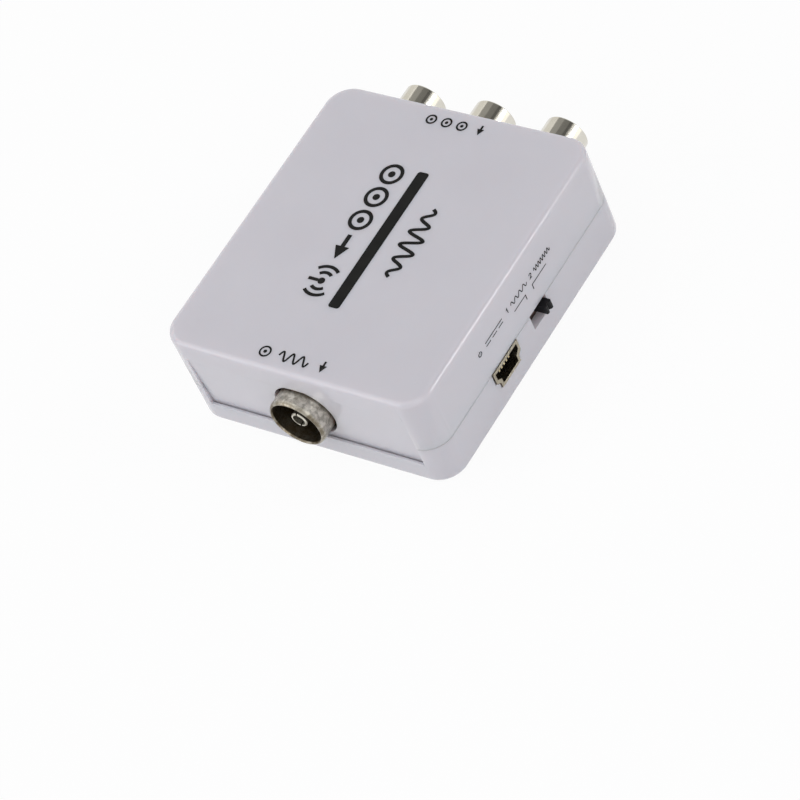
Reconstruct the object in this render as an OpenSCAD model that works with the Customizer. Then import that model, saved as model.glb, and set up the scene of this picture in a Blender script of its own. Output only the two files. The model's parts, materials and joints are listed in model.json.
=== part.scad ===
// Small radio-frequency modulator in a moulded snap-together case.
// The origin is at the middle of the underside. X runs across the aerial socket's face,
// -Y is the aerial socket's side, +Y the phono jacks' side, and +X the side of the switch.

/* [Case] */
// Width of the case across the aerial socket's face
case_w = 55; // [54:0.5:62]
// Depth of the case from the aerial socket's face to the phono jacks' face
case_d = 61.7; // [60:0.5:72]
// Height of the case
case_h = 21; // [20:0.5:26]
// Radius of the upright corners, seen from above
corner_r = 4.9; // [4.2:0.1:5.6]
// Rounding of the outer edges along the top and the bottom
edge_r = 1; // [0.6:0.1:1.4]
// Thickness of the side walls
wall = 1.8; // [1.6:0.1:2.1]
// Thickness of the floor and of the ceiling
skin = 1.8; // [1.5:0.1:2.2]
// Height of the lap joint's lip above the seam
lap_h = 1.2; // [0.8:0.1:1.6]

/* [End panels] */
// Distance from the side of the case to the side of a sunk end panel
panel_side = 4.6; // [4.4:0.1:6]
// Distance from the top of the case down to the panel's upper edge
panel_drop = 4.4; // [3.6:0.1:5]
// How deep the panel is sunk at its upper edge
sink_top = 0.15; // [0.1:0.05:0.3]
// How deep the panel is sunk at its lower edge
sink_low = 0.75; // [0.7:0.05:1]
// Thickness of a panel at its lower edge
panel_t = 1.4; // [1.2:0.1:1.6]
// How far a panel reaches down behind the lower shell's lip
tuck = 1; // [0.6:0.1:1.2]

/* [Posts and snap arms] */
// Radius of the posts that hold the board
post_r = 2; // [1.8:0.1:2.3]
// Radius of the pins that pass through the board
pin_r = 0.9; // [0.7:0.1:1]
// Width of a snap arm
arm_w = 5; // [4:0.5:6]
// Thickness of a snap arm
arm_t = 1.2; // [1:0.1:1.4]

/* [Circuit board] */
// Thickness of the board
board_t = 1.6; // [1.4:0.1:1.8]
// Room for solder joints under the board
solder_room = 1.25; // [1.1:0.05:1.5]
// Height of the sockets' axes above the board
axis_h = 5.95; // [5.7:0.05:6.2]

/* [Phono jacks] */
// Distance from the -X side of the case to the red jack's axis
red_jack_side = 10.85; // [9:0.05:12]
// Distance from the +X side of the case to the yellow jack's axis
yellow_jack_side = 13.65; // [10:0.05:14.5]
// Outer radius of a jack's sleeve
sleeve_r = 4.15; // [4.1:0.05:4.2]
// How far a sleeve stands out of the case
sleeve_out = 8; // [6:0.25:9]
// Radius of a sleeve's pin hole in the coloured insert
pin_hole_r = 1.75; // [1.7:0.05:1.8]
// Inner radius of the centre contact
contact_r = 1.62; // [1.6:0.01:1.65]
// Width of a jack's housing
housing_w = 9.7; // [9.2:0.1:10.2]

/* [Aerial socket] */
// Outer radius of the socket's sleeve
aerial_r = 5.5; // [5.4:0.05:5.6]
// Inner radius of the socket's sleeve
aerial_bore_r = 4.85; // [4.8:0.05:4.9]
// How far the socket stands out of the case
aerial_out = 2.85; // [2:0.05:4]
// Radius of the case's opening for the socket
aerial_hole_r = 6.1; // [5.9:0.05:6.2]
// Outer radius of the centre contact
tip_r = 1.6; // [1.5:0.05:1.7]
// Inner radius of the centre contact
tip_bore_r = 1.2; // [1.18:0.01:1.22]
// How far the centre contact ends behind the sleeve's mouth
tip_back = 1; // [0.6:0.1:1.6]

/* [Power socket] */
// Place of the socket along the side of the case
power_y = -8.65; // [-10:0.05:-7]
// Width of the socket's shell along its top
power_w = 7.7; // [7.5:0.1:7.8]
// Width of the socket's shell along its foot
power_low_w = 5.7; // [5.4:0.1:6]
// Height of the socket's shell
power_h = 3.95; // [3.9:0.05:4.1]
// Length of the socket's shell
power_len = 9.2; // [8.5:0.1:9.4]
// How far the socket's mouth stands out of the case
power_out = 0.25; // [0.1:0.05:0.5]

/* [Slide switch] */
// Place of the switch along the side of the case
switch_y = 3.1; // [2.5:0.1:4]
// Length of the switch's frame
switch_w = 10; // [9.8:0.1:10.6]
// Height of the switch's frame
switch_h = 4.5; // [4.2:0.1:4.8]
// Depth of the switch's frame
switch_d = 4; // [3.8:0.1:4.4]
// Height of the knob's middle above the board
knob_z = 2.6; // [2.5:0.05:2.7]
// Width of the knob along the side of the case
knob_w = 1.95; // [1.8:0.05:2.1]
// Height of the knob
knob_h = 1.9; // [1.8:0.05:2]
// How far the knob stands out of the case
knob_out = 1.2; // [0.9:0.05:2]
// Distance that the knob travels between its two places
travel = 2.9; // [2.5:0.1:3]

/* [Parts on the board] */
// Length of the modulator chip
modulator_l = 9.9; // [9.5:0.1:10.3]
// Length of the controller chip
controller_l = 4.9; // [4.8:0.1:5.2]
// Width of both chips
chip_w = 3.9; // [3.8:0.1:4]
// Distance between neighbouring chip legs
leg_pitch = 1.27; // [1.2:0.01:1.3]
// Radius of a capacitor can
can_r = 2.5; // [2:0.1:3]
// Height of a capacitor can above its foot plate
can_h = 4.6; // [4:0.1:6]
// Length of the crystal's can
crystal_l = 10.8; // [10:0.1:11.4]
// Width of the crystal's can
crystal_w = 4.4; // [4:0.1:4.8]
// Height of the crystal's can
crystal_h = 3.2; // [2.6:0.1:3.6]
// Length of a chip capacitor or a chip resistor
chip_part_l = 2; // [1.6:0.1:2.2]

/* [Hidden] */
$fn = 48;

// Overrun of every cut
over = 0.4;
// Gap between moulded pieces that meet without pressing
fit = 0.15;
// Gap between metal pieces and what holds them
slip = 0.05;
// Visible gap along the seam
seam_gap = 0.1;
// Gap round the contacts' tails in the jack housings
tail_gap = 0.3;
// Gap round each jack's sleeve in the case, wide enough for a plug's collar
jack_gap = 0.6;
// Rounding between a wall and the floor or the ceiling inside the case
root_r = 0.8;
// Thickness of the lip in front of a panel's lower edge
lip_t = 0.5;
// Reach of the snap arms' barbs, their height, and the arms' ends above the board
barb = 0.6;
barb_h = 1.2;
arm_end = 0.7;
// How far below the jack's axis a saddle's horns end, as a share of the opening's radius
saddle_share = 0.4;
// Thickness of ribs and fins, their height, and the reach of a fin
rib_t = 1;
rib_h = 1.4;
fin = 1.5;
// How far the pins rise above the board
pin_rise = 1.1;
// Gap between the board and the case
board_gap = 0.35;
// Radius of the board's corners
board_r = 2.6;
// How far the legs pass below the board
leg_stub = 0.8;

// Heights and places that follow from the values above
board_low = skin + solder_room;
board_z = board_low + board_t;
axis_z = board_z + axis_h;
// The seam runs just above the power socket
seam_z = board_z + power_h + fit + slip;
jack_hole_r = sleeve_r + jack_gap;
// The white jack stands midway between the other two
jack_pitch = (case_w - red_jack_side - yellow_jack_side) / 2;
jack_x = (red_jack_side - yellow_jack_side) / 2;
// A panel's lower edge runs level with the foot of the openings in it
front_lip_z = axis_z - aerial_hole_r;
back_lip_z = axis_z - jack_hole_r;
panel_z = case_h - panel_drop;
panel_w = case_w - 2 * panel_side;
board_w = case_w - 2 * (wall + board_gap);
board_d = case_d - 2 * (sink_low + panel_t + board_gap);
// Posts stand in from the side walls, clear of the jacks and of the aerial socket
post_in = 3.7;
post_back_share = 0.49;
post_front_share = -0.73;
posts = [
    for (s = [-1, 1], share = [post_front_share, post_back_share])
        [s * (case_w / 2 - wall - post_in), share * case_d / 2]
];
// Snap arms along each side wall, in front of the power socket and behind the switch
arm_clear = 1.7;
arm_ys = [
    power_y - power_w / 2 - arm_clear - arm_w / 2,
    switch_y + switch_w / 2 + arm_clear + arm_w / 2
];

// Jack details
sleeve_t = 0.5;
flange_in = 2.6;
flange_t = 0.5;
flange_r = 4.9;
strap_t = 0.35;
strap_h = 2;
strap_l = 2.5;
leg_w = 1;
housing_top = 5;
housing_d = 8.4;
housing_chamfer = 1.4;
insert_deep = 3;
insert_back = 0.6;
insert_face = 0.9;
chamfer = 0.3;
contact_t = 0.43;
contact_back = 1;
contact_cap = 0.4;
slit_w = 0.4;
slit_l = 4.5;
tail_w = 1.2;
tail_t = 0.5;
tail_s = 9.1;
channel_r = 1.2;

// Aerial socket details
aerial_deep = 11.6;
lip_bevel = 0.7;
mouth_bevel = 0.14;
frame_t = 0.5;
frame_w = 13.4;
frame_top = 6.2;
frame_in = 3.3;
frame_l = 9.1;
wing_top = 4;
foot_w = 1.2;
insulator_t = 3.4;
boss_r = 2.9;
boss_t = 1.2;
collar_r = 2.25;
collar_out = -0.8;
collar_gap = 1.3;
tip_slit_w = 0.3;
tip_slit_l = 5;
tail_r = 0.7;
tail_out = 1.4;

// Power socket details
power_t = 0.3;
shoulder_low = 1.3;
shoulder_high = 2;
flare = 0.25;
flare_l = 0.3;
power_gap = 0.4;
tongue_w = 4.4;
tongue_t = 0.8;
tongue_y = 2.1;
tongue_back = 1;
block_l = 3;
contact_w = 0.35;
contact_pitch = 0.8;
contact_thick = 0.12;
contact_foot = 1;
tab_w = 0.9;
tab_l = 1.3;

// Switch details
switch_sheet = 0.35;
base_t = 0.9;
slider_w = 5;
slider_h = 3.1;
slider_t = 1.1;
window_gap = 0.2;
slot_side = 0.25;
slot_low = 1.8;
groove_w = 0.55;
groove_d = 0.42;
nose = 0.15;
terminal_pitch = 2.9;
terminal_w = 1.5;
terminal_t = 0.2;
terminal_pin = 0.6;
terminal_back = 0.7;
wiper_t = 0.2;
wiper_w = 4.4;
wiper_h = 1.5;
dome_r = 0.4;

// Chip details
chip_h = 1.45;
chip_lift = 0.15;
chip_bevel = 0.35;
leg_t = 0.2;
leg_out = 1.05;
leg_wide = 0.42;
leg_foot = 0.6;
regulator_l = 6.5;
regulator_w = 3.5;
regulator_h = 1.6;
regulator_pitch = 2.3;
regulator_leg = 0.7;
foot_plate = 0.8;
foot_over = 0.15;
can_groove = 0.2;
crystal_plate = 0.4;
crystal_rim = 0.3;
chip_part_w = 1.25;
chip_part_h = 0.6;
chip_cap_h = 1;
coil_l = 3.2;
coil_w = 2.5;
coil_h = 2;
coil_waist = 0.4;

// Places on the board, as shares of half its width and half its depth
modulator_share = [0.0, -0.2];
controller_share = [-0.52, 0.22];
regulator_share = [0.46, -0.5];
crystal_share = [-0.5, -0.3];
can_shares = [[0.38, -0.06], [0.38, 0.3], [-0.08, 0.34]];
cap_shares = [
    [-0.2, -0.42], [0.0, -0.42], [0.2, -0.42], [-0.2, 0.06], [0.0, 0.06], [0.2, 0.06],
    [-0.74, -0.02], [-0.74, 0.4], [0.7, -0.66], [0.2, 0.44], [-0.4, 0.5]
];
resistor_shares = [
    [-0.27, -0.56], [-0.12, 0.16], [0.12, 0.16], [-0.32, 0.06],
    [-0.74, 0.18], [0.66, 0.36], [-0.3, 0.24], [0.6, 0.5]
];
coil_shares = [[-0.42, -0.56], [-0.56, -0.62], [0.66, -0.06]];

// Colours seen on the object, and usual ones for what is inside
shell_colour = [0.8, 0.79, 0.82];
nickel = [0.8, 0.79, 0.75];
tin = [0.58, 0.57, 0.54];
brass = [0.78, 0.66, 0.36];
board_green = [0.1, 0.36, 0.2];
black = [0.1, 0.1, 0.11];
cream = [0.88, 0.85, 0.76];
insert_colours = [[0.85, 0.12, 0.1], [0.92, 0.92, 0.9], [0.95, 0.8, 0.1]];

// Turns local X sideways, local Y upwards and local Z out of the front face
module on_front(x, z) {
    translate([x, -case_d / 2, z]) rotate([90, 0, 0]) children();
}

// The same for the back face
module on_back(x, z) {
    translate([x, case_d / 2, z]) rotate([90, 0, 180]) children();
}

// Jacks run from the red one at -X to the yellow one at +X
module at_jack(i) {
    on_back(jack_x + i * jack_pitch, axis_z) children();
}

// The same for the right side
module on_right(y, z) {
    translate([case_w / 2, y, z]) rotate([90, 0, 90]) children();
}

// Sweeps a flat wall profile round the plan; the profile's zero is the corners' centres
module round_the_plan() {
    half_w = case_w / 2 - corner_r;
    half_d = case_d / 2 - corner_r;
    for (turn = [0, 180])
        rotate([0, 0, turn]) {
            translate([half_w, half_d, 0]) rotate_extrude(angle = 90) children();
            translate([-half_w, half_d, 0]) rotate([0, 0, 90]) rotate_extrude(angle = 90) children();
            translate([half_w, half_d, 0]) rotate([90, 0, 0]) linear_extrude(2 * half_d) children();
            translate([-half_w, half_d, 0]) rotate([90, 0, 90]) linear_extrude(2 * half_w) children();
        }
}

// Flat plate that fills the plan inside the walls
module inner_plate(thick) {
    half_w = case_w / 2 - corner_r;
    half_d = case_d / 2 - corner_r;
    r = corner_r - wall;
    linear_extrude(thick) {
        square([2 * (half_w + r), 2 * half_d], center = true);
        square([2 * half_w, 2 * (half_d + r)], center = true);
        for (x = [-half_w, half_w], y = [-half_d, half_d])
            translate([x, y]) circle(r);
    }
}

// Cuts the outer corner of a wall profile to its rounding
module edge_cut() {
    difference() {
        translate([corner_r - edge_r, -over]) square([edge_r + over, edge_r + over]);
        translate([corner_r - edge_r, edge_r]) circle(edge_r);
    }
}

// Fills the inner corner between a plate and a wall
module root_fill() {
    difference() {
        translate([corner_r - wall - root_r, skin]) square(root_r);
        translate([corner_r - wall - root_r, skin + root_r]) circle(root_r);
    }
}

// Wall profile of the lower shell with the inner half of the lap joint
module lower_profile() {
    difference() {
        union() {
            translate([corner_r - wall, 0]) square([wall, seam_z]);
            translate([corner_r - wall, 0]) square([(wall - fit) / 2, seam_z + lap_h]);
            root_fill();
        }
        edge_cut();
    }
}

// Wall profile of the upper shell with the outer half of the lap joint
module upper_profile() {
    lap_top = seam_z + lap_h + fit;
    difference() {
        union() {
            translate([corner_r - wall, lap_top]) square([wall, case_h - lap_top]);
            translate([corner_r - (wall - fit) / 2, seam_z + seam_gap])
                square([(wall - fit) / 2, case_h - seam_z - seam_gap]);
            translate([0, case_h]) mirror([0, 1]) root_fill();
        }
        translate([0, case_h]) mirror([0, 1]) edge_cut();
    }
}

// Window that a panel fills, drawn for the front; z runs from low up to high
module window(low, high, near, far) {
    translate([-panel_w / 2, -case_d / 2 + near, low]) cube([panel_w, far - near, high - low]);
}

// Cross-section of an end panel, drawn for the front; it leans in towards its lower edge
module panel_profile(lip_z) {
    y = -case_d / 2;
    low_z = lip_z - tuck;
    inner = sink_low + panel_t;
    polygon([
        [y + sink_top, panel_z], [y + sink_low, lip_z], [y + sink_low, low_z],
        [y + inner, low_z], [y + inner, seam_z + lap_h], [y + wall, seam_z + lap_h + inner - wall],
        [y + wall, panel_z]
    ]);
}

// Sunk end panel of the upper shell, drawn for the front
module panel(lip_z) {
    y = -case_d / 2;
    low_z = lip_z - tuck;
    inner = sink_low + panel_t;
    difference() {
        translate([-panel_w / 2, 0, 0]) rotate([90, 0, 90]) linear_extrude(panel_w) panel_profile(lip_z);
        // Side gaps where the panel hangs between the lower shell's corners
        for (s = [-1, 1])
            translate([s * panel_w / 2 - fit, y, low_z - over])
                cube([2 * fit, inner + over, seam_z + lap_h + fit - low_z + over]);
    }
}

// Round opening in a panel, drawn from the socket's axis
module round_port(r) {
    deep = sink_low + panel_t + 2 * over;
    translate([0, 0, over - deep]) cylinder(deep, r = r);
}

// Arch that lets the back panel drop over a jack
module arch() {
    deep = sink_low + panel_t + 2 * over;
    round_port(jack_hole_r);
    translate([-jack_hole_r, -jack_hole_r - tuck - over, over - deep])
        cube([2 * jack_hole_r, jack_hole_r + tuck + over, deep]);
}

// Saddle of the lower shell that fills an arch from below, with two short horns
module saddle() {
    w = 2 * (jack_hole_r - fit);
    low = back_lip_z - tuck - fit;
    top = axis_z - saddle_share * jack_hole_r;
    difference() {
        translate([-w / 2, 0, 0]) rotate([90, 0, 90]) linear_extrude(w) intersection() {
            union() {
                panel_profile(back_lip_z);
                translate([lip_t / 2 - case_d / 2, low - over]) square([wall - lip_t / 2, back_lip_z - low + over]);
            }
            translate([-case_d / 2, low - over]) square([wall, top - low + over]);
        }
        translate([0, -case_d / 2, axis_z]) rotate([90, 0, 0]) round_port(jack_hole_r);
    }
}

// Post that comes down on the board, with fins and a socket for the pin
module hold_down() {
    low = board_z + fit;
    difference() {
        union() {
            translate([0, 0, low]) cylinder(case_h - skin - low, r = post_r);
            for (a = [0:90:270])
                rotate([90, 0, a]) translate([0, 0, -rib_t / 2]) linear_extrude(rib_t)
                    polygon([
                        [0, case_h - skin], [post_r + fin, case_h - skin],
                        [post_r + fin, case_h - skin - rib_h], [post_r, low + 2 * fin], [0, low + 2 * fin]
                    ]);
        }
        translate([0, 0, low - over]) cylinder(pin_rise + fit + over, r = pin_r + fit);
    }
}

// Snap arm for the right wall; its barb catches under the pocket in the lower shell
module snap_arm() {
    out = case_w / 2 - wall - fit;
    low = board_z + arm_end;
    barb_top = low + barb_h;
    rotate([90, 0, 0]) translate([0, 0, -arm_w / 2]) linear_extrude(arm_w)
        polygon([
            [out - arm_t, low], [out - barb / 2, low], [out + barb, barb_top - barb / 2],
            [out + barb, barb_top], [out, barb_top], [out, case_h - skin],
            [out - arm_t - rib_t, case_h - skin], [out - arm_t, case_h - skin - 2 * rib_h]
        ]);
}

// Blind pocket in the lower shell's wall for a barb
module snap_pocket() {
    low = board_z + arm_end;
    translate([case_w / 2 - wall - over, -arm_w / 2 - fit, low - fit])
        cube([barb + over, arm_w + 2 * fit, barb_h + 2 * fit]);
}

// Outline of the power socket, grown or shrunk all round by g, standing on the board
module power_outline(g) {
    top = power_w / 2 + g;
    foot = power_low_w / 2 + g;
    polygon([
        [-foot, -g], [foot, -g], [foot, shoulder_low - g], [top, shoulder_high - g],
        [top, power_h + g], [-top, power_h + g], [-top, shoulder_high - g], [-foot, shoulder_low - g]
    ]);
}

module top_shell() {
    color(shell_colour) difference() {
        union() {
            difference() {
                union() {
                    round_the_plan() upper_profile();
                    translate([0, 0, case_h - skin]) inner_plate(skin);
                }
                window(seam_z, panel_z, -over, wall + over);
                mirror([0, 1, 0]) window(seam_z, panel_z, -over, wall + over);
            }
            panel(front_lip_z);
            mirror([0, 1, 0]) panel(back_lip_z);
            for (p = posts) translate([p[0], p[1], 0]) hold_down();
            for (s = [0, 1], y = arm_ys) mirror([s, 0, 0]) translate([0, y, 0]) snap_arm();
            // Ribs across the ceiling between the posts
            for (share = [post_front_share, post_back_share])
                translate([posts[0][0], share * case_d / 2 - rib_t / 2, case_h - skin - rib_h])
                    cube([-2 * posts[0][0], rib_t, rib_h]);
            for (s = [-1, 1])
                translate([s * posts[0][0] / 2 - rib_t / 2, posts[0][1], case_h - skin - rib_h])
                    cube([rib_t, posts[1][1] - posts[0][1], rib_h]);
        }
        on_front(0, axis_z) round_port(aerial_hole_r);
        for (i = [-1:1]) at_jack(i) arch();
    }
}

module bottom_shell() {
    lap_top = seam_z + lap_h;
    color(shell_colour) {
        for (i = [-1:1]) translate([jack_x + i * jack_pitch, 0, 0]) mirror([0, 1, 0]) saddle();
        difference() {
            union() {
                round_the_plan() lower_profile();
                inner_plate(skin);
                for (p = posts) translate([p[0], p[1], 0]) {
                    cylinder(board_low, r = post_r);
                    cylinder(board_z + pin_rise, r = pin_r);
                }
                // Stiffening ribs across the floor, clear of the solder joints
                for (share = [-0.25, 0.25])
                    translate([-board_w / 4, share * board_d / 2 - rib_t / 2, skin - over])
                        cube([board_w / 2, rib_t, solder_room / 2 + over]);
            }
            // Windows that the end panels fill, and the rooms behind their lips
            window(front_lip_z, lap_top + over, -over, wall + over);
            window(front_lip_z - tuck - fit, lap_top, lip_t, wall + over);
            mirror([0, 1, 0]) {
                window(back_lip_z, lap_top + over, -over, wall + over);
                window(back_lip_z - tuck - fit, lap_top, lip_t, wall + over);
            }
            for (s = [0, 1], y = arm_ys) mirror([s, 0, 0]) translate([0, y, 0]) snap_pocket();
            // Notch for the power socket, closed above by the upper shell
            on_right(power_y, board_z) translate([0, 0, -wall - over]) {
                linear_extrude(wall + 2 * over) power_outline(power_gap);
                translate([-power_w / 2 - power_gap, power_h, 0])
                    cube([power_w + 2 * power_gap, lap_top, wall + 2 * over]);
            }
            // Slot for the switch's knob
            slot = knob_w + travel + 2 * slot_side;
            on_right(switch_y, board_z + knob_z) translate([-slot / 2, -slot_low, -wall - over])
                cube([slot, lap_top, wall + 2 * over]);
        }
    }
}

// Holes through the board for round or flat legs at a list of places
module leg_holes(places, r) {
    for (p = places) translate([p[0], p[1], board_low - over]) cylinder(board_t + 2 * over, r = r);
}

module circuit_board() {
    half_w = board_w / 2 - board_r;
    half_d = board_d / 2 - board_r;
    color(board_green) difference() {
        translate([0, 0, board_low]) linear_extrude(board_t) {
            square([board_w, 2 * half_d], center = true);
            square([2 * half_w, board_d], center = true);
            for (x = [-half_w, half_w], y = [-half_d, half_d]) translate([x, y]) circle(board_r);
        }
        leg_holes(posts, pin_r + fit);
        // Jack straps and tails
        strap_x = (housing_w + strap_t) / 2 + slip;
        strap_y = case_d / 2 - flange_in - flange_t - strap_l + leg_w / 2;
        for (i = [-1:1]) {
            x = jack_x + i * jack_pitch;
            leg_holes([[x - strap_x, strap_y], [x + strap_x, strap_y]], (leg_w + strap_t) / 2);
            leg_holes([[x, case_d / 2 - tail_s - tail_t / 2]], (tail_w + tail_t) / 2);
        }
        // Aerial socket's feet and tail
        for (s = [-1, 1], y = frame_feet())
            leg_holes([[s * (frame_w - frame_t) / 2, y]], (foot_w + frame_t) / 2);
        leg_holes([[0, -case_d / 2 + aerial_deep + tail_out]], tail_r + fit);
        // Switch's frame legs and terminals
        for (s = [-1, 1])
            leg_holes([[switch_leg_x(), switch_y + s * (switch_w + switch_sheet) / 2]], (leg_w + switch_sheet) / 2);
        for (i = [-1:1])
            leg_holes([[terminal_x(), switch_y + i * terminal_pitch]], terminal_pin);
    }
}

// Places of the aerial frame's feet along Y
function frame_feet() = [
    for (share = [0.2, 0.8]) -case_d / 2 + frame_in + share * frame_l
];

// Where the switch's frame, its legs and its terminals stand along X
function switch_face_x() = case_w / 2 - wall - board_gap;
function switch_leg_x() = switch_face_x() - switch_d / 2;
function terminal_x() = switch_face_x() - switch_d - terminal_back;

// Sleeve of one jack: a drawn tube with a rolled end, a flange, and two straps down to the board
module jack_sleeve() {
    leg = axis_h + board_t + leg_stub;
    strap_x = housing_w / 2 + slip;
    color(nickel) {
        rotate_extrude() {
            translate([sleeve_r - sleeve_t, -flange_in]) square([sleeve_t, sleeve_out + flange_in - sleeve_t / 2]);
            translate([sleeve_r - sleeve_t / 2, sleeve_out - sleeve_t / 2]) circle(sleeve_t / 2, $fn = 16);
            translate([sleeve_r - sleeve_t, -flange_in - flange_t]) square([flange_r - sleeve_r + sleeve_t, flange_t]);
        }
        for (s = [-1, 1]) {
            translate([s * (strap_x + strap_t / 2), 0, -flange_in - flange_t - strap_l]) {
                translate([-strap_t / 2, -strap_h / 2, 0]) cube([strap_t, strap_h, strap_l + flange_t]);
                translate([-strap_t / 2, -leg, 0]) cube([strap_t, leg, leg_w]);
            }
            translate([min(s * sleeve_r, s * (strap_x + strap_t)), -strap_h / 2, -flange_in - flange_t])
                cube([strap_x + strap_t - sleeve_r, strap_h, flange_t]);
        }
    }
}

// Coloured insert of one jack, with the pin hole and the chamber for the contact
module jack_insert(colour) {
    r = sleeve_r - sleeve_t - slip;
    face = sleeve_out - insert_back;
    low = -flange_in - flange_t - insert_deep;
    color(colour) rotate_extrude() polygon([
        [contact_r + contact_t + slip, low], [r, low], [r, face - chamfer], [r - chamfer, face],
        [pin_hole_r + chamfer, face], [pin_hole_r, face - chamfer],
        [pin_hole_r, face - insert_face], [contact_r + contact_t + slip, face - insert_face]
    ]);
}

// Centre contact of one jack: a slit tube, its cap, and the tail down to the board
module jack_contact() {
    top = sleeve_out - insert_back - insert_face - fit;
    low = -contact_back;
    leg = axis_h + board_t + leg_stub;
    color(brass) {
        difference() {
            translate([0, 0, low]) cylinder(top - low, r = contact_r + contact_t);
            translate([0, 0, low + contact_cap]) cylinder(top - low, r = contact_r);
            translate([-slit_w / 2, -2 * contact_r, top - slit_l]) cube([slit_w, 4 * contact_r, slit_l + over]);
        }
        translate([-tail_w / 2, -tail_t / 2, -tail_s - tail_t]) cube([tail_w, tail_t, tail_s + tail_t + low]);
        translate([-tail_w / 2, -leg, -tail_s - tail_t]) cube([tail_w, leg, tail_t]);
    }
}

// Housing of one jack: a moulded block on the board, chamfered along its top
module jack_housing() {
    front = -flange_in - flange_t;
    insert_r = sleeve_r - sleeve_t;
    side = housing_w / 2;
    color(black) difference() {
        translate([0, 0, front - housing_d]) linear_extrude(housing_d) polygon([
            [-side, -axis_h], [side, -axis_h], [side, housing_top - housing_chamfer],
            [side - housing_chamfer, housing_top], [housing_chamfer - side, housing_top],
            [-side, housing_top - housing_chamfer]
        ]);
        translate([0, 0, front - insert_deep - slip]) cylinder(insert_deep + slip + over, r = insert_r);
        translate([0, 0, -tail_s - tail_t]) cylinder(tail_s, r = channel_r);
        translate([-tail_w / 2 - tail_gap, -axis_h - over, -tail_s - tail_t - tail_gap])
            cube([tail_w + 2 * tail_gap, axis_h + over + channel_r, tail_t + 2 * tail_gap]);
        // Feet are left at the corners of the underside
        translate([-side / 2, -axis_h - over, front - housing_d - over])
            cube([side, over + chamfer, housing_d + 2 * over]);
    }
}

module aerial_sleeve() {
    out = aerial_out;
    color(tin) rotate_extrude() polygon([
        [aerial_bore_r, -aerial_deep], [aerial_r, -aerial_deep], [aerial_r, out - lip_bevel],
        [aerial_r - lip_bevel / 5, out - lip_bevel / 3], [aerial_r - lip_bevel / 2, out],
        [aerial_bore_r + mouth_bevel, out], [aerial_bore_r, out - 2 * mouth_bevel]
    ]);
}

// Bent steel frame that carries the sleeve: two plates, two wings and four feet
module aerial_frame() {
    side = frame_w / 2;
    back = -frame_in - frame_l;
    color(tin) difference() {
        union() {
            for (s = [-frame_in - frame_t, back])
                translate([-side, -axis_h, s]) cube([frame_w, axis_h + frame_top, frame_t]);
            for (s = [-1, 1]) {
                translate([s * (side - frame_t / 2) - frame_t / 2, -axis_h, back])
                    cube([frame_t, axis_h + wing_top, frame_l]);
                for (y = frame_feet())
                    translate([
                        s * (side - frame_t / 2) - frame_t / 2,
                        -axis_h - board_t - leg_stub, -case_d / 2 - y - foot_w / 2
                    ])
                        cube([frame_t, board_t + leg_stub + over, foot_w]);
            }
        }
        translate([0, 0, back + frame_t]) cylinder(frame_l, r = aerial_r + slip / 2);
        translate([0, 0, back - over]) cylinder(frame_t + 2 * over, r = 2 * tail_r);
        translate([-2 * tail_r, -axis_h - over, back - over])
            cube([4 * tail_r, axis_h + over, frame_t + 2 * over]);
    }
}

// Insulator in the sleeve's rear, with a boss that carries the centre contact
module aerial_insulator() {
    r = aerial_bore_r - slip;
    face = insulator_t - aerial_deep;
    color(cream) rotate_extrude() polygon([
        [tail_r + slip, -aerial_deep], [r, -aerial_deep], [r, face],
        [boss_r, face], [boss_r, face + boss_t], [tail_r + slip, face + boss_t]
    ]);
}

// Centre contact: a slit tube in a rolled collar, and the tail down to the board
module aerial_contact() {
    top = aerial_out - tip_back;
    low = insulator_t - aerial_deep + boss_t;
    tail = -aerial_deep - tail_out;
    leg = axis_h + board_t + leg_stub;
    color(tin) {
        difference() {
            union() {
                translate([0, 0, low]) cylinder(top - low - chamfer / 2, r = tip_r);
                translate([0, 0, top - chamfer / 2]) cylinder(chamfer / 2, tip_r, tip_r - chamfer / 2);
                difference() {
                    translate([0, 0, low]) cylinder(collar_out - low, r = collar_r);
                    translate([-collar_gap / 2, -2 * collar_r, low + contact_cap])
                        cube([collar_gap, 2 * collar_r, collar_out - low]);
                }
            }
            translate([0, 0, low + contact_cap]) cylinder(top - low, r = tip_bore_r);
            translate([-tip_slit_w / 2, -2 * tip_r, top - tip_slit_l])
                cube([tip_slit_w, 4 * tip_r, tip_slit_l + over]);
        }
        translate([0, 0, tail]) cylinder(low - tail, r = tail_r);
        translate([0, 0, tail]) rotate([90, 0, 0]) cylinder(leg, r = tail_r);
        translate([0, 0, tail]) sphere(tail_r);
    }
}

// Folded shell of the power socket with a flared mouth and four tabs on the board
module power_socket_shell() {
    color(nickel) {
        difference() {
            union() {
                translate([0, 0, power_out - power_len]) linear_extrude(power_len) power_outline(0);
                translate([0, 0, power_out - flare_l]) linear_extrude(flare_l) power_outline(flare);
            }
            translate([0, 0, power_out - power_len - over]) linear_extrude(power_len + 2 * over)
                power_outline(-power_t);
        }
        for (s = [-1, 1], share = [0.35, 0.85])
            translate([s * (power_low_w + tab_w) / 2 - tab_w / 2, 0, power_out - share * power_len - tab_l / 2])
                cube([tab_w, power_t, tab_l]);
    }
}

module power_socket_tongue() {
    back = power_out - power_len;
    color(black) {
        translate([0, 0, back]) linear_extrude(block_l) power_outline(-power_t - slip);
        translate([-tongue_w / 2, tongue_y, back])
            cube([tongue_w, tongue_t, power_len - tongue_back]);
    }
}

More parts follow.
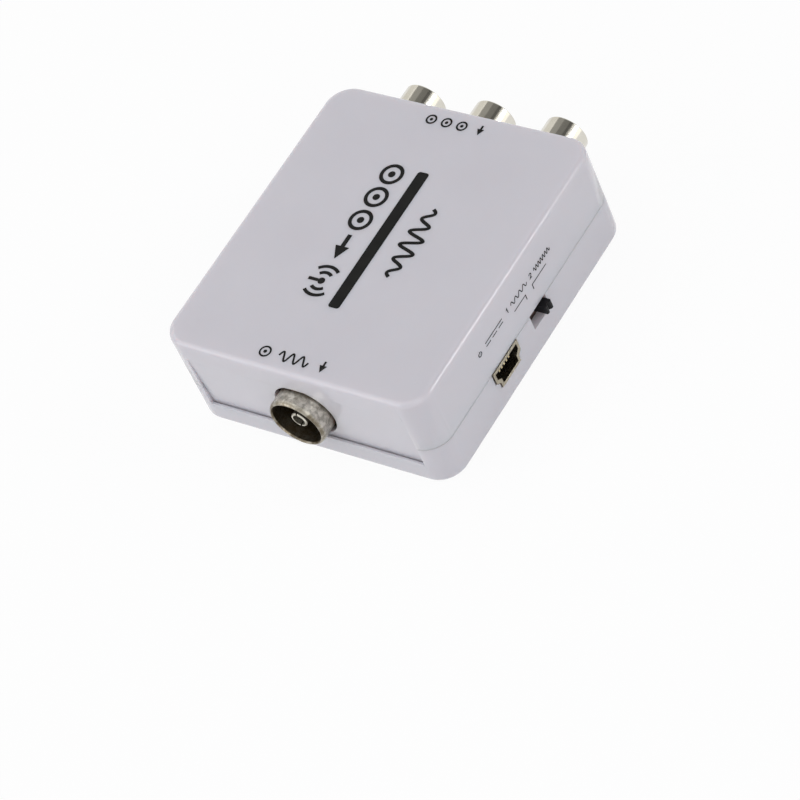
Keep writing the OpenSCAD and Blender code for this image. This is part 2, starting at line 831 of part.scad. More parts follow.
// Five contacts that wrap the tongue's front edge, and their feet behind the shell
module power_socket_contacts() {
    back = power_out - power_len;
    tip = power_out - tongue_back;
    color(brass)
        for (i = [-2:2])
            translate([i * contact_pitch - contact_w / 2, 0, 0]) {
                translate([0, tongue_y - contact_thick, back + block_l])
                    cube([contact_w, contact_thick, tip + contact_thick - back - block_l]);
                translate([0, tongue_y - contact_thick, tip]) cube([contact_w, tongue_t, contact_thick]);
                translate([0, 0, back - contact_foot]) cube([contact_w, contact_thick, contact_foot]);
            }
}

// Steel frame of the slide switch, open at the back, with a window for the knob
module switch_frame() {
    face = switch_face_x() - case_w / 2;
    half_h = switch_h / 2;
    window_w = knob_w + travel + 2 * window_gap;
    window_h = knob_h + 2 * window_gap;
    color(nickel) difference() {
        union() {
            translate([-switch_w / 2, -half_h, face - switch_d]) cube([switch_w, switch_h, switch_d]);
            for (s = [-1, 1])
                translate([
                    s * (switch_w + switch_sheet) / 2 - switch_sheet / 2,
                    -knob_z - board_t - leg_stub, face - (switch_d + leg_w) / 2
                ])
                    cube([switch_sheet, knob_z + board_t + leg_stub, leg_w]);
        }
        translate([-switch_w / 2 + switch_sheet, -half_h + switch_sheet, face - switch_d - over])
            cube([switch_w - 2 * switch_sheet, switch_h - 2 * switch_sheet, switch_d + over - switch_sheet]);
        translate([-window_w / 2, -window_h / 2, face - 2 * switch_sheet])
            cube([window_w, window_h, 2 * switch_sheet + over]);
    }
}

// Laminate base that closes the frame's back, with slots for the terminals
module switch_base() {
    face = switch_face_x() - case_w / 2;
    w = switch_w - 2 * switch_sheet - 2 * slip;
    h = switch_h - 2 * switch_sheet - 2 * slip;
    color([0.45, 0.28, 0.15]) difference() {
        translate([-w / 2, -h / 2, face - switch_d]) cube([w, h, base_t]);
        for (i = [-1:1])
            translate([i * terminal_pitch, 0, face - switch_d - over])
                cylinder(base_t + 2 * over, r = terminal_pin);
    }
}

// Three terminals: a pad inside the frame, a pin through the base and a leg to the board
module switch_terminals() {
    inner = switch_face_x() - case_w / 2 - switch_d + base_t;
    leg_s = terminal_x() - case_w / 2;
    leg = knob_z + board_t + leg_stub;
    color(brass)
        for (i = [-1:1])
            translate([i * terminal_pitch, 0, 0]) {
                translate([-terminal_w / 2, -terminal_w / 2, inner]) cube([terminal_w, terminal_w, terminal_t]);
                translate([-terminal_pin / 2, -terminal_t, leg_s - terminal_t])
                    cube([terminal_pin, 2 * terminal_t, inner - leg_s + terminal_t]);
                translate([-terminal_pin / 2, -leg, leg_s - terminal_t]) cube([terminal_pin, leg, 2 * terminal_t]);
            }
}

// The knob rests at the rear end of its travel
module at_knob_rest() {
    translate([travel / 2, 0, 0]) children();
}

// Knob with its slider: the outer end has two ridges and a groove between them
module switch_knob() {
    face = switch_face_x() - case_w / 2;
    slider = face - switch_sheet - slip - slider_t;
    half = knob_w / 2;
    color(black) at_knob_rest() {
        translate([-slider_w / 2, -slider_h / 2, slider]) cube([slider_w, slider_h, slider_t]);
        translate([0, knob_h / 2, 0]) rotate([90, 0, 0]) linear_extrude(knob_h) polygon([
            [-half, slider], [half, slider], [half, knob_out - nose], [half - nose, knob_out],
            [groove_w / 2 + nose, knob_out], [0, knob_out - groove_d], [-groove_w / 2 - nose, knob_out],
            [nose - half, knob_out], [-half, knob_out - nose]
        ]);
    }
}

// Wiper behind the slider: a strip with two domes that bridge neighbouring terminals
module switch_wiper() {
    face = switch_face_x() - case_w / 2;
    front = face - switch_sheet - slip - slider_t;
    pads = face - switch_d + base_t + terminal_t;
    color(brass) at_knob_rest() {
        translate([-wiper_w / 2, -wiper_h / 2, front - wiper_t]) cube([wiper_w, wiper_h, wiper_t]);
        for (s = [-1, 1])
            translate([s * terminal_pitch / 2, 0, pads + slip]) {
                translate([0, 0, dome_r]) sphere(dome_r, $fn = 24);
                translate([0, 0, dome_r]) cylinder(front - wiper_t / 2 - pads - slip - dome_r, r = dome_r, $fn = 24);
            }
    }
}

// Puts a part on the board at a place given in shares of half its width and depth
module on_board(share) {
    translate([share[0] * board_w / 2, share[1] * board_d / 2, board_z]) children();
}

// Moulded chip body with bevelled sides
module chip_body(l) {
    side = chip_w / 2;
    translate([-l / 2, 0, chip_lift]) rotate([90, 0, 90]) linear_extrude(l) polygon([
        [chip_bevel - side, 0], [side - chip_bevel, 0], [side, chip_h / 2],
        [side - chip_bevel, chip_h], [chip_bevel - side, chip_h], [-side, chip_h / 2]
    ]);
}

// Two rows of bent legs, n on each side
module chip_legs(n) {
    side = chip_w / 2;
    mid = chip_lift + chip_h / 2;
    for (turn = [0, 180], i = [0:n - 1])
        rotate([0, 0, turn]) translate([(i - (n - 1) / 2) * leg_pitch - leg_wide / 2, 0, 0])
            rotate([90, 0, 90]) linear_extrude(leg_wide) polygon([
                [side, mid], [side, mid + leg_t], [side + leg_out - leg_foot, mid + leg_t],
                [side + leg_out - leg_foot + leg_t, leg_t], [side + leg_out, leg_t], [side + leg_out, 0],
                [side + leg_out - leg_foot, 0], [side + leg_out - leg_foot - leg_t, mid]
            ]);
}

module modulator_chip() {
    color(black) on_board(modulator_share) chip_body(modulator_l);
}

module modulator_legs() {
    color(nickel) on_board(modulator_share) chip_legs(8);
}

module controller_chip() {
    color(black) on_board(controller_share) chip_body(controller_l);
}

module controller_legs() {
    color(nickel) on_board(controller_share) chip_legs(4);
}

// Voltage regulator with three narrow legs and one wide tab
module regulator() {
    color(black) on_board(regulator_share)
        translate([-regulator_l / 2, 0, 0]) rotate([90, 0, 90]) linear_extrude(regulator_l) polygon([
            [chip_bevel - regulator_w / 2, 0], [regulator_w / 2 - chip_bevel, 0],
            [regulator_w / 2, regulator_h / 2], [regulator_w / 2 - chip_bevel, regulator_h],
            [chip_bevel - regulator_w / 2, regulator_h], [-regulator_w / 2, regulator_h / 2]
        ]);
}

module regulator_legs() {
    inner = (regulator_w - chip_bevel) / 2;
    outer = regulator_w / 2 + leg_out;
    color(nickel) on_board(regulator_share) {
        for (i = [-1:1])
            translate([i * regulator_pitch - regulator_leg / 2, -outer, 0])
                cube([regulator_leg, outer - inner, leg_t]);
        translate([-regulator_pitch / 2 - regulator_leg, inner, 0])
            cube([regulator_pitch + 2 * regulator_leg, outer - inner, leg_t]);
    }
}

// Flat oval, used for the crystal's can and foot
module oval(l, w, h) {
    for (s = [-1, 1]) translate([s * (l - w) / 2, 0, 0]) cylinder(h, r = w / 2);
    translate([(w - l) / 2, -w / 2, 0]) cube([l - w, w, h]);
}

module crystal_can() {
    color(nickel) on_board(crystal_share) rotate([0, 0, 90]) {
        translate([0, 0, crystal_plate]) oval(crystal_l, crystal_w, crystal_h);
        translate([0, 0, crystal_plate]) oval(crystal_l + 2 * crystal_rim, crystal_w + 2 * crystal_rim, crystal_rim);
    }
}

module crystal_foot() {
    color(black) on_board(crystal_share) rotate([0, 0, 90])
        oval(crystal_l + 2 * crystal_rim, crystal_w + 2 * crystal_rim, crystal_plate);
}

// Cans with a rolled groove above their feet
module capacitor_cans() {
    color(nickel)
        for (share = can_shares) on_board(share) translate([0, 0, foot_plate]) rotate_extrude() polygon([
            [0, 0], [can_r, 0], [can_r, can_h / 6], [can_r - can_groove, can_h / 6 + can_groove],
            [can_r, can_h / 6 + 2 * can_groove], [can_r, can_h - can_groove], [can_r - can_groove, can_h],
            [0, can_h]
        ]);
}

module capacitor_feet() {
    half = can_r + foot_over;
    cut = can_r / 3;
    color(black)
        for (share = can_shares) on_board(share) linear_extrude(foot_plate) polygon([
            [-half, -half], [half - cut, -half], [half, cut - half],
            [half, half - cut], [half - cut, half], [-half, half]
        ]);
}

// Small rectangular parts at a list of places
module small_parts(shares, l, w, h) {
    for (share = shares) on_board(share) translate([-l / 2, -w / 2, 0]) cube([l, w, h]);
}

module chip_capacitors() {
    color([0.66, 0.5, 0.34]) small_parts(cap_shares, chip_part_l, chip_part_w, chip_cap_h);
}

module chip_resistors() {
    color(black) small_parts(resistor_shares, chip_part_l, chip_part_w, chip_part_h);
}

// Wire-wound chip coils with a waist between their end plates
module chip_coils() {
    color([0.6, 0.35, 0.2])
        for (share = coil_shares) on_board(share) translate([0, coil_w / 2, 0]) rotate([90, 0, 0])
            linear_extrude(coil_w) polygon([
                [-coil_l / 2, 0], [coil_l / 2, 0], [coil_l / 2, coil_h], [coil_l / 4, coil_h],
                [coil_l / 4, coil_h - coil_waist], [-coil_l / 4, coil_h - coil_waist],
                [-coil_l / 4, coil_h], [-coil_l / 2, coil_h]
            ]);
}

top_shell();
bottom_shell();
circuit_board();
at_jack(1) jack_housing();  // video_jack_housing
at_jack(0) jack_housing();  // left_jack_housing
at_jack(-1) jack_housing();  // right_jack_housing
at_jack(1) jack_sleeve();  // video_jack_sleeve
at_jack(0) jack_sleeve();  // left_jack_sleeve
at_jack(-1) jack_sleeve();  // right_jack_sleeve
at_jack(1) jack_insert(insert_colours[2]);  // video_jack_insert
at_jack(0) jack_insert(insert_colours[1]);  // left_jack_insert
at_jack(-1) jack_insert(insert_colours[0]);  // right_jack_insert
at_jack(1) jack_contact();  // video_jack_contact
at_jack(0) jack_contact();  // left_jack_contact
at_jack(-1) jack_contact();  // right_jack_contact
on_front(0, axis_z) aerial_sleeve();
on_front(0, axis_z) aerial_frame();
on_front(0, axis_z) aerial_insulator();
on_front(0, axis_z) aerial_contact();
on_right(power_y, board_z) power_socket_shell();
on_right(power_y, board_z) power_socket_tongue();
on_right(power_y, board_z) power_socket_contacts();
on_right(switch_y, board_z + knob_z) switch_frame();
on_right(switch_y, board_z + knob_z) switch_base();
on_right(switch_y, board_z + knob_z) switch_terminals();
on_right(switch_y, board_z + knob_z) switch_knob();
on_right(switch_y, board_z + knob_z) switch_wiper();
modulator_chip();
modulator_legs();
controller_chip();
controller_legs();
regulator();
regulator_legs();
crystal_can();
crystal_foot();
capacitor_cans();
capacitor_feet();
chip_capacitors();
chip_resistors();
chip_coils();
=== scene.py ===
# Looks of a small radio-frequency modulator: a white moulded case with nickel and tinned sockets
import json
import math

import bmesh
import bpy
from mathutils import Matrix, Vector


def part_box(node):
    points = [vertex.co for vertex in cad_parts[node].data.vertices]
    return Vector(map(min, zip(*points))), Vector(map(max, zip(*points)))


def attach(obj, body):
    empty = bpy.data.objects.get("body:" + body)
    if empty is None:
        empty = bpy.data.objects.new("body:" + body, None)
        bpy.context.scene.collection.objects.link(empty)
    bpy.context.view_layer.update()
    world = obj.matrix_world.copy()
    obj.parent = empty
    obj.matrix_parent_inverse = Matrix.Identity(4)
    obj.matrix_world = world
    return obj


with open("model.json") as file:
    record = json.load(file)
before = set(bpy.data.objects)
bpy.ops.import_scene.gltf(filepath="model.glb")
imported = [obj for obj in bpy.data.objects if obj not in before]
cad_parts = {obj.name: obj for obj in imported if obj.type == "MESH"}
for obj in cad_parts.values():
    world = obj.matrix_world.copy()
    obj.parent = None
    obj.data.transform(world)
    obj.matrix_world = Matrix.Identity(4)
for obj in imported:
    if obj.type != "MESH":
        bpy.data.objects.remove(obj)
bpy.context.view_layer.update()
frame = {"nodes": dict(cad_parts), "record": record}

MM = 0.001
BODY = "case"

# Printed marks stand proud of the case, and reach a little into it
INK_PROUD = 0.012 * MM
INK_SUNK = 0.01 * MM
ROUND_STEPS = 40

# Radius in millimetres of the rounded sharp edges on the nodes that show
SOFT_EDGES = {
    "top_shell": 0.06, "bottom_shell": 0.06, "switch_knob": 0.08, "power_socket_shell": 0.05,
    "power_socket_tongue": 0.05, "switch_frame": 0.05,
}
WELD_REACH = 0.002 * MM
SHARP_ANGLE = math.radians(40)

# Camera solved from the photograph, in millimetres of the object's own frame
CAMERA_PLACE = (360.47, -300.91, 477.18)
CAMERA_AHEAD = (-0.53633, 0.43147, -0.72539)
CAMERA_DOWN = (0.22876, -0.75297, -0.61701)
CAMERA_LENS = 171.01
SENSOR_WIDTH = 36.0

# Lamps: name, place and size in metres, power in watts. Each one looks at LAMP_TARGET
LAMP_TARGET = (0, 0, 0.01)
LAMPS = [
    ("overhead softbox", (-0.6, 0.05, 1.2), (1.4, 1.4), 5.2),
    ("front softbox", (-0.75, -1.01, 0.60), (1.0, 0.7), 4.6),
    ("side softbox", (1.015, 0.60, 0.75), (0.24, 0.6), 2.9),
    ("camera side softbox", (0.95, -0.60, 0.75), (0.5, 0.5), 2.9),
]

# Cards that only reflections see: name, first and last angle in degrees from overhead, brightness,
# and distance in metres
CARDS = [
    ("left card", -95, -41, 0.86, 1.6),
    ("middle card", -41, -10, 0.36, 1.0),
    ("grey card", -10, 21, 0.21, 1.0),
    ("dark card", 21, 35, 0.12, 0.99),
    ("pale card", 35, 43, 0.5, 1.6),
    ("bright card", 66, 88, 1.5, 1.6),
]

# A phono sleeve runs front to back, so what it mirrors to the camera lies in directions with these
# shares backwards and across
MIRRORED_BACK = 0.431
MIRRORED_ACROSS = 0.902


# Shader trees

def add(tree, kind, sockets=None, **settings):
    """Adds a node, sets its own settings, and fills or links its input sockets."""
    made = tree.nodes.new(kind)
    for name, value in settings.items():
        setattr(made, name, value)
    for name, value in (sockets or {}).items():
        if isinstance(value, bpy.types.NodeSocket):
            tree.links.new(value, made.inputs[name])
        else:
            made.inputs[name].default_value = value
    return made


def maths(tree, operation, a, b=0.0, c=0.0, clamp=False):
    """One sum on two or three numbers or sockets."""
    sockets = {0: a, 1: b, 2: c}
    return add(tree, "ShaderNodeMath", sockets, operation=operation, use_clamp=clamp).outputs[0]


def spread(tree, value, low, high, to_low=0.0, to_high=1.0):
    """Stretches a value between two levels, clamped at both."""
    sockets = {
        "Value": value, "From Min": low, "From Max": high, "To Min": to_low, "To Max": to_high,
    }
    return add(tree, "ShaderNodeMapRange", sockets, clamp=True).outputs["Result"]


def blend_colour(tree, amount, first, second):
    """Colour between two colours or colour sockets."""
    mixer = add(tree, "ShaderNodeMix", {"Factor": amount}, data_type="RGBA")
    for name, value in (("A", first), ("B", second)):
        socket = next(s for s in mixer.inputs if s.name == name and s.type == "RGBA")
        if isinstance(value, bpy.types.NodeSocket):
            tree.links.new(value, socket)
        else:
            socket.default_value = (*value, 1.0)
    return next(s for s in mixer.outputs if s.type == "RGBA")


def object_place(tree):
    """Place on the object, in metres of its own frame."""
    return add(tree, "ShaderNodeTexCoord").outputs["Object"]


def scale_for(tree, size):
    """Texture scale that gives features of a size in millimetres."""
    return maths(tree, "DIVIDE", 1 / MM, size)


def start_group(name, inputs, outputs):
    """Empty shader group with numbers as named inputs, and its two end nodes."""
    group = bpy.data.node_groups.new(name, "ShaderNodeTree")
    for label, value in inputs.items():
        socket = group.interface.new_socket(label, in_out="INPUT", socket_type="NodeSocketFloat")
        socket.default_value = value
    for label in outputs:
        group.interface.new_socket(label, in_out="OUTPUT", socket_type="NodeSocketFloat")
    return group, group.nodes.new("NodeGroupInput"), group.nodes.new("NodeGroupOutput")


def place_group(tree, group, **values):
    """Puts a shared group into a material with that material's own values."""
    sockets = {label.replace("_", " "): value for label, value in values.items()}
    return add(tree, "ShaderNodeGroup", sockets, node_tree=group)


def make_moulded_skin():
    """Fine grain and slow waves of a moulded surface. Sizes are in millimetres."""
    group, given, out = start_group(
        "moulded skin",
        {"Grain Size": 0.2, "Wave Size": 14.0, "Wave Share": 0.5},
        ["Height", "Tint", "Gloss"],
    )
    place = object_place(group)
    grain = add(group, "ShaderNodeTexNoise", {
        "Vector": place, "Detail": 2.0, "Scale": scale_for(group, given.outputs["Grain Size"]),
    }).outputs["Fac"]
    wave = add(group, "ShaderNodeTexNoise", {
        "Vector": place, "Detail": 1.0, "Scale": scale_for(group, given.outputs["Wave Size"]),
    }).outputs["Fac"]
    share = given.outputs["Wave Share"]
    slow = maths(group, "MULTIPLY", wave, share)
    fast = maths(group, "MULTIPLY", grain, maths(group, "SUBTRACT", 1.0, share))
    group.links.new(maths(group, "ADD", slow, fast), out.inputs["Height"])
    group.links.new(spread(group, wave, 0.3, 0.7), out.inputs["Tint"])
    group.links.new(maths(group, "MULTIPLY_ADD", grain, 0.4, 0.3), out.inputs["Gloss"])
    return group


def make_plating():
    """Mottle, fine pits and drawn scratches of a plated metal. Sizes are in millimetres."""
    group, given, out = start_group(
        "plating",
        {"Spot Size": 1.5, "Contrast": 0.5, "Scratch Size": 0.12},
        ["Mottle", "Height", "Scratches"],
    )
    place = object_place(group)
    spots = add(group, "ShaderNodeTexNoise", {
        "Vector": place, "Detail": 6.0, "Roughness": 0.65, "Distortion": 0.4,
        "Scale": scale_for(group, given.outputs["Spot Size"]),
    }).outputs["Fac"]
    half = maths(group, "SUBTRACT", 0.4, maths(group, "MULTIPLY", given.outputs["Contrast"], 0.35))
    low, high = maths(group, "SUBTRACT", 0.5, half), maths(group, "ADD", 0.5, half)
    mottle = spread(group, spots, low, high)
    lengthways = {"Vector": place, "Scale": (1.0, 0.06, 1.0)}
    drawn = add(group, "ShaderNodeMapping", lengthways).outputs["Vector"]
    lines = add(group, "ShaderNodeTexNoise", {
        "Vector": drawn, "Detail": 3.0, "Scale": scale_for(group, given.outputs["Scratch Size"]),
    }).outputs["Fac"]
    group.links.new(mottle, out.inputs["Mottle"])
    height = maths(group, "ADD", maths(group, "MULTIPLY", lines, 0.6), spots)
    group.links.new(height, out.inputs["Height"])
    group.links.new(spread(group, lines, 0.56, 0.72), out.inputs["Scratches"])
    return group


def make_edge_rub():
    """Mask of the edges that hands and plugs rub, from how far a rounded normal turns away."""
    group, given, out = start_group("edge rub", {"Reach": 0.15, "Break Size": 0.8}, ["Rubbed"])
    reach = maths(group, "MULTIPLY", given.outputs["Reach"], MM)
    soft = add(group, "ShaderNodeBevel", {"Radius": reach}, samples=6).outputs["Normal"]
    true = add(group, "ShaderNodeNewGeometry").outputs["Normal"]
    turn = add(group, "ShaderNodeVectorMath", {0: soft, 1: true}, operation="DOT_PRODUCT")
    edge = spread(group, maths(group, "SUBTRACT", 1.0, turn.outputs["Value"]), 0.01, 0.16)
    place = object_place(group)
    breaks = add(group, "ShaderNodeTexNoise", {
        "Vector": place, "Detail": 3.0, "Scale": scale_for(group, given.outputs["Break Size"]),
    }).outputs["Fac"]
    rubbed = maths(group, "MULTIPLY", edge, spread(group, breaks, 0.35, 0.6))
    group.links.new(rubbed, out.inputs["Rubbed"])
    return group


def make_corner_shade_and_grime():
    """Mask of painted shade in corners and gaps, darker the more shut in they are, broken by
    patches of soiling.
    """
    group, given, out = start_group("corner shade and soiling", {"Reach": 1.0, "Amount": 1.0}, ["Dirt"])
    reach = maths(group, "MULTIPLY", given.outputs["Reach"], MM)
    open_sky = add(group, "ShaderNodeAmbientOcclusion", {"Distance": reach}, samples=8)
    place = object_place(group)
    patches = add(group, "ShaderNodeTexNoise", {
        "Vector": place, "Detail": 4.0, "Scale": 0.6 / MM,
    }).outputs["Fac"]
    # Painted shade from how shut in a place is, varied by patches
    shut = spread(group, open_sky.outputs["AO"], 0.85, 0.25)
    patchy = maths(group, "MULTIPLY", shut, spread(group, patches, 0.3, 0.7, 0.6, 1.0))
    shade_and_grime = maths(group, "MULTIPLY", patchy, given.outputs["Amount"], clamp=True)
    group.links.new(shade_and_grime, out.inputs["Dirt"])
    return group


MOULDED_SKIN = make_moulded_skin()
PLATING = make_plating()
EDGE_RUB = make_edge_rub()
CORNER_SHADE_AND_GRIME = make_corner_shade_and_grime()


# Materials

def start_material(name, **constants):
    """Material with one Principled shader whose even values are set on its own sockets."""
    material = bpy.data.materials.new(name)
    material.use_nodes = True
    tree = material.node_tree
    shader = tree.nodes["Principled BSDF"]
    for label, value in constants.items():
        shader.inputs[label.replace("_", " ")].default_value = value
    return material, tree, shader


def join(tree, value, shader, label):
    """Feeds one of the shader's sockets."""
    tree.links.new(value, shader.inputs[label])


def bump(tree, shader, height, depth_mm):
    """Turns a height into the shader's normal."""
    made = add(tree, "ShaderNodeBump", {"Height": height, "Distance": depth_mm * MM})
    join(tree, made.outputs["Normal"], shader, "Normal")


def moulded_plastic(name, colour, tint, roughness, grain=0.15, depth=0.002, shade_and_grime=0.25,
                    rub=0.0, rubbed=None, handled=0.0, **constants):
    """Moulded plastic: slow tint drift, fine grain, painted shade and soiling in its corners,
    rubbed edges and, where it is handled, hairline marks in its gloss. Grain and depth are in
    millimetres."""
    material, tree, shader = start_material(name, **constants)
    skin = place_group(tree, MOULDED_SKIN, Grain_Size=grain, Wave_Size=16.0, Wave_Share=0.6).outputs
    colour_now = blend_colour(tree, skin["Tint"], colour, tint)
    if rub:
        rubbed_off = place_group(tree, EDGE_RUB, Reach=0.12, Break_Size=0.5).outputs["Rubbed"]
        amount = maths(tree, "MULTIPLY", rubbed_off, rub)
        colour_now = blend_colour(tree, amount, colour_now, rubbed)
    # A darker copy of the plastic's own colour, painted as shade and soiling in corners and gaps
    shade_grime_mask = place_group(tree, CORNER_SHADE_AND_GRIME, Reach=0.5, Amount=shade_and_grime).outputs["Dirt"]
    grime_and_shade = tuple(0.25 * c for c in colour)
    join(tree, blend_colour(tree, shade_grime_mask, colour_now, grime_and_shade), shader, "Base Color")
    gloss = maths(tree, "MULTIPLY", skin["Gloss"], 2.0 * roughness)
    if handled:
        marks = place_group(tree, PLATING, Spot_Size=9.0, Contrast=0.6, Scratch_Size=0.5).outputs
        hairs = maths(tree, "MULTIPLY", marks["Scratches"], marks["Mottle"])
        gloss = maths(tree, "MULTIPLY_ADD", hairs, handled, gloss)
    join(tree, gloss, shader, "Roughness")
    bump(tree, shader, skin["Height"], depth)
    return material


def shell_plastic():
    """Glossy white of the case, faintly lilac."""
    return moulded_plastic(
        "shell plastic", (0.636, 0.617, 0.662), (0.622, 0.603, 0.649), roughness=0.18,
        grain=0.9, depth=0.0008, shade_and_grime=0.05, handled=0.06,
        Subsurface_Weight=0.6, Subsurface_Scale=0.003, Subsurface_Radius=(1.0, 0.8, 0.75),
        Coat_Weight=0.25, Coat_Roughness=0.07,
    )


def plated_metal(name, light, dark, roughness, spot, contrast, shade_and_grime=0.3, reach=0.6, rub=0.5,
                 worn=None, grime_and_shade=(0.10, 0.09, 0.07), tarnish_and_shade=None, **constants):
    """Plated sheet or tube: mottled colour, drawn scratches, worn edges, painted shade and soiling
    in its corners and, where a mask of tarnished and shaded places is given, the same dark colour
    over part of it. Spot and reach are in millimetres."""
    material, tree, shader = start_material(name, Metallic=1.0, **constants)
    plate = place_group(tree, PLATING, Spot_Size=spot, Contrast=contrast, Scratch_Size=0.1).outputs
    rubbed = place_group(tree, EDGE_RUB, Reach=0.12, Break_Size=0.6).outputs["Rubbed"]
    shade_grime_mask = place_group(tree, CORNER_SHADE_AND_GRIME, Reach=reach, Amount=shade_and_grime).outputs["Dirt"]
    colour = blend_colour(tree, plate["Mottle"], dark, light)
    colour = blend_colour(tree, maths(tree, "MULTIPLY", rubbed, rub), colour, worn or light)
    # The given mask paints tarnished and shaded places in the same dark colour
    if tarnish_and_shade:
        patchy = spread(tree, plate["Mottle"], 0.0, 1.0, 0.95, 0.65)
        colour = blend_colour(tree, maths(tree, "MULTIPLY", tarnish_and_shade(tree), patchy), colour, grime_and_shade)
    # Painted shade and soiling in corners and gaps
    colour = blend_colour(tree, shade_grime_mask, colour, grime_and_shade)
    join(tree, colour, shader, "Base Color")
    rough = maths(tree, "MULTIPLY_ADD", plate["Mottle"], -0.35 * roughness, 1.2 * roughness)
    rough = maths(tree, "ADD", rough, maths(tree, "MULTIPLY", plate["Scratches"], 0.5 * roughness))
    join(tree, rough, shader, "Roughness")
    bump(tree, shader, plate["Height"], 0.0008)
    return material


def nickel():
    return plated_metal(
        "nickel", (0.74, 0.715, 0.65), (0.66, 0.635, 0.57), roughness=0.12, spot=2.5, contrast=0.4,
        shade_and_grime=0.6,
    )


def worn_nickel():
    """Thinner, warmer plating on the folded sheet of the power socket."""
    return plated_metal(
        "worn nickel", (0.44, 0.40, 0.32), (0.24, 0.21, 0.155), roughness=0.26, spot=0.7,
        contrast=0.6, shade_and_grime=0.8, reach=0.4, rub=0.75, worn=(0.60, 0.56, 0.46),
    )


def aerial_tarnish_and_bore_shade(tree):
    """Mask of the aerial sleeve's tarnished lip and of painted shade in its bore, but not of the
    thin contact on its axis.
    """
    lip_from, lip_to, axis_height = -32.9 * MM, -33.4 * MM, 10.6 * MM
    wall_outside, wall_inside = 5.15 * MM, 4.95 * MM
    contact_outside, contact_clear = 1.7 * MM, 2.6 * MM
    parts = add(tree, "ShaderNodeSeparateXYZ", {"Vector": object_place(tree)}).outputs
    lip = spread(tree, parts["Y"], lip_from, lip_to, 0.0, 0.75)
    rise = maths(tree, "SUBTRACT", parts["Z"], axis_height)
    across = maths(tree, "MULTIPLY", parts["X"], parts["X"])
    off_axis = maths(tree, "SQRT", maths(tree, "ADD", across, maths(tree, "MULTIPLY", rise, rise)))
    # The bore's wall is painted dark, as the shade of its depth
    within_wall = spread(tree, off_axis, wall_outside, wall_inside)
    round_contact = spread(tree, off_axis, contact_outside, contact_clear)
    bore_shade = maths(tree, "MULTIPLY", within_wall, round_contact)
    return maths(tree, "MAXIMUM", lip, bore_shade)


def tin():
    """Dull tinned brass, cloudy, with a tarnished lip and painted brown shade in its bore."""
    return plated_metal(
        "tin", (0.74, 0.71, 0.63), (0.35, 0.33, 0.28), roughness=0.36, spot=1.2, contrast=0.85,
        shade_and_grime=0.9, reach=1.2, rub=0.15, grime_and_shade=(0.115, 0.083, 0.044), tarnish_and_shade=aerial_tarnish_and_bore_shade,
    )


def contact_brass():
    return plated_metal(
        "contact brass", (0.66, 0.57, 0.36), (0.48, 0.38, 0.22), roughness=0.25, spot=1.2,
        contrast=0.7,
    )


def circuit_laminate():
    """Green solder mask over copper tracks."""
    material, tree, shader = start_material(
        "circuit laminate", Coat_Weight=0.3, Coat_Roughness=0.15
    )
    place = object_place(tree)
    tracks = add(tree, "ShaderNodeTexBrick", {
        "Vector": place, "Scale": 0.28 / MM, "Mortar Size": 0.035, "Mortar Smooth": 0.1,
        "Color1": (0, 0, 0, 1), "Color2": (0, 0, 0, 1), "Mortar": (1, 1, 1, 1),
    }, offset=0.37, squash=1.6).outputs["Fac"]
    skin = place_group(tree, MOULDED_SKIN, Grain_Size=0.2, Wave_Size=8.0, Wave_Share=0.4).outputs
    mask = blend_colour(tree, skin["Tint"], (0.014, 0.10, 0.04), (0.018, 0.12, 0.05))
    join(tree, blend_colour(tree, tracks, mask, (0.03, 0.19, 0.08)), shader, "Base Color")
    join(tree, maths(tree, "MULTIPLY", skin["Gloss"], 0.7), shader, "Roughness")
    height = maths(tree, "ADD", maths(tree, "MULTIPLY", tracks, 2.0), skin["Height"])
    bump(tree, shader, height, 0.02)
    return material


def brown_laminate():
    """Pressed paper laminate with layers along its thickness."""
    material, tree, shader = start_material("brown laminate")
    place = object_place(tree)
    layers = add(tree, "ShaderNodeTexWave", {
        "Vector": place, "Scale": 0.9 / MM, "Distortion": 2.0, "Detail": 2.0,
    }, bands_direction="X").outputs["Fac"]
    skin = place_group(tree, MOULDED_SKIN, Grain_Size=0.1, Wave_Size=2.0, Wave_Share=0.3).outputs
    wood = blend_colour(tree, layers, (0.16, 0.062, 0.025), (0.23, 0.095, 0.04))
    join(tree, blend_colour(tree, skin["Tint"], wood, (0.18, 0.075, 0.03)), shader, "Base Color")
    join(tree, maths(tree, "MULTIPLY", skin["Gloss"], 1.1), shader, "Roughness")
    bump(tree, shader, skin["Height"], 0.01)
    return material


def chip_ceramic():
    """Fired brown body, mottled."""
    material, tree, shader = start_material("chip ceramic")
    plate = place_group(tree, PLATING, Spot_Size=0.4, Contrast=0.6, Scratch_Size=0.2).outputs
    body = blend_colour(tree, plate["Mottle"], (0.30, 0.19, 0.10), (0.42, 0.28, 0.15))
    join(tree, body, shader, "Base Color")
    join(tree, spread(tree, plate["Mottle"], 0.0, 1.0, 0.45, 0.6), shader, "Roughness")
    bump(tree, shader, plate["Height"], 0.004)
    return material


def coil_copper():
    """Enamelled wire, wound side by side, with painted shade between the turns."""
    material, tree, shader = start_material("coil copper", Metallic=0.8, Coat_Weight=0.4)
    place = object_place(tree)
    turns = add(tree, "ShaderNodeTexWave", {
        "Vector": place, "Scale": 1.0 / MM,
    }, bands_direction="X").outputs["Fac"]
    # The dark ends of the bands are painted shade in the grooves between the turns
    wire = blend_colour(tree, turns, (0.16, 0.05, 0.02), (0.55, 0.21, 0.09))
    join(tree, wire, shader, "Base Color")
    join(tree, spread(tree, turns, 0.0, 1.0, 0.5, 0.3), shader, "Roughness")
    bump(tree, shader, turns, 0.06)
    return material


